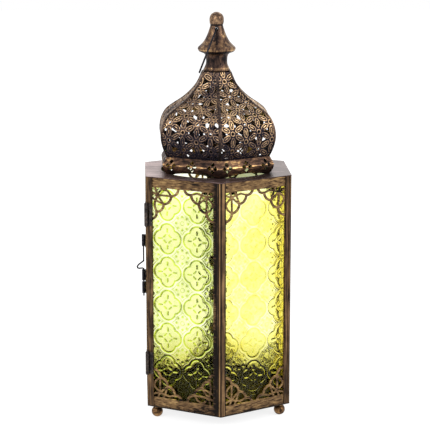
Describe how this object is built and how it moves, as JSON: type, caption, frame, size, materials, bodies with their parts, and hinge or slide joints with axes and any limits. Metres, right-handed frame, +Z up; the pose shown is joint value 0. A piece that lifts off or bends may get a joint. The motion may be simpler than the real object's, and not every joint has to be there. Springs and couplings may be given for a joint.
{
  "type": "ramadan fanous lantern",
  "caption": "Six-sided pierced metal lantern with pressed-glass windows, a hinged side door with a sliding wire latch, an onion dome, a finial and a hanging ring.",
  "frame": {"origin": "on the lantern's axis, in the plane that its ball feet rest on", "axes": "+Z up along the axis; -Y towards the near corner between the two front faces; the door is the face towards -X"},
  "size_m": [0.1703, 0.184, 0.4497],
  "materials": {
    "antique_brass": "satin",
    "dull_plate": "satin",
    "blackened_steel": "satin",
    "plain_steel": "satin",
    "pressed_glass": "gloss"
  },
  "bodies": {
    "lantern": {"base_pan": "antique_brass", "foot_front_left": "antique_brass", "foot_front_right": "antique_brass", "foot_rear": "antique_brass", "foot_nuts": "plain_steel", "post_front": "antique_brass", "post_front_right": "antique_brass", "post_rear_right": "antique_brass", "post_rear": "antique_brass", "post_rear_left": "antique_brass", "post_front_left": "antique_brass", "window_front_right": "antique_brass", "window_right": "antique_brass", "window_rear_right": "antique_brass", "window_rear_left": "antique_brass", "window_front_left": "antique_brass", "glass_front_right": "pressed_glass", "glass_right": "pressed_glass", "glass_rear_right": "pressed_glass", "glass_rear_left": "pressed_glass", "glass_front_left": "pressed_glass", "glass_clips": "blackened_steel", "hinge_post_leaf_upper": "blackened_steel", "hinge_pin_upper": "plain_steel", "hinge_post_leaf_lower": "blackened_steel", "hinge_pin_lower": "plain_steel", "latch_keeper": "blackened_steel", "roof_plate": "dull_plate", "dome_collar": "antique_brass", "gore_front_right": "antique_brass", "gore_right": "antique_brass", "gore_rear_right": "antique_brass", "gore_rear_left": "antique_brass", "gore_left": "antique_brass", "gore_front_left": "antique_brass", "seam_front": "antique_brass", "seam_front_right": "antique_brass", "seam_rear_right": "antique_brass", "seam_rear": "antique_brass", "seam_rear_left": "antique_brass", "seam_front_left": "antique_brass", "crown_plate": "blackened_steel", "finial_neck": "antique_brass", "finial_skirt": "antique_brass", "finial_ball": "antique_brass", "finial_rod": "plain_steel", "finial_nut": "plain_steel"},
    "door": {"door_frame": "antique_brass", "door_glass": "pressed_glass", "door_glass_clips": "blackened_steel", "hinge_door_leaf_upper": "blackened_steel", "hinge_door_leaf_lower": "blackened_steel", "latch_guide_upper": "blackened_steel", "latch_guide_middle": "blackened_steel"},
    "latch": {"latch_pin": "blackened_steel"},
    "ring": {"hanging_ring": "blackened_steel"}
  },
  "joints": [
    {"name": "door_hinge", "type": "hinge", "parent": "lantern", "child": "door", "pos_m": [-0.07958, -0.04883, 0.145], "axis": [0, 0, 1], "range_deg": [0, 115]},
    {"name": "latch_slide", "type": "slide", "parent": "door", "child": "latch", "axis": [0, 0, 1], "range_m": [0, 0.0172]},
    {"name": "ring_hinge", "type": "hinge", "parent": "lantern", "child": "ring", "pos_m": [0, 0, 0.4315], "axis": [0.0872, 0.9962, 0], "range_deg": [0, 317.1]}
  ]
}
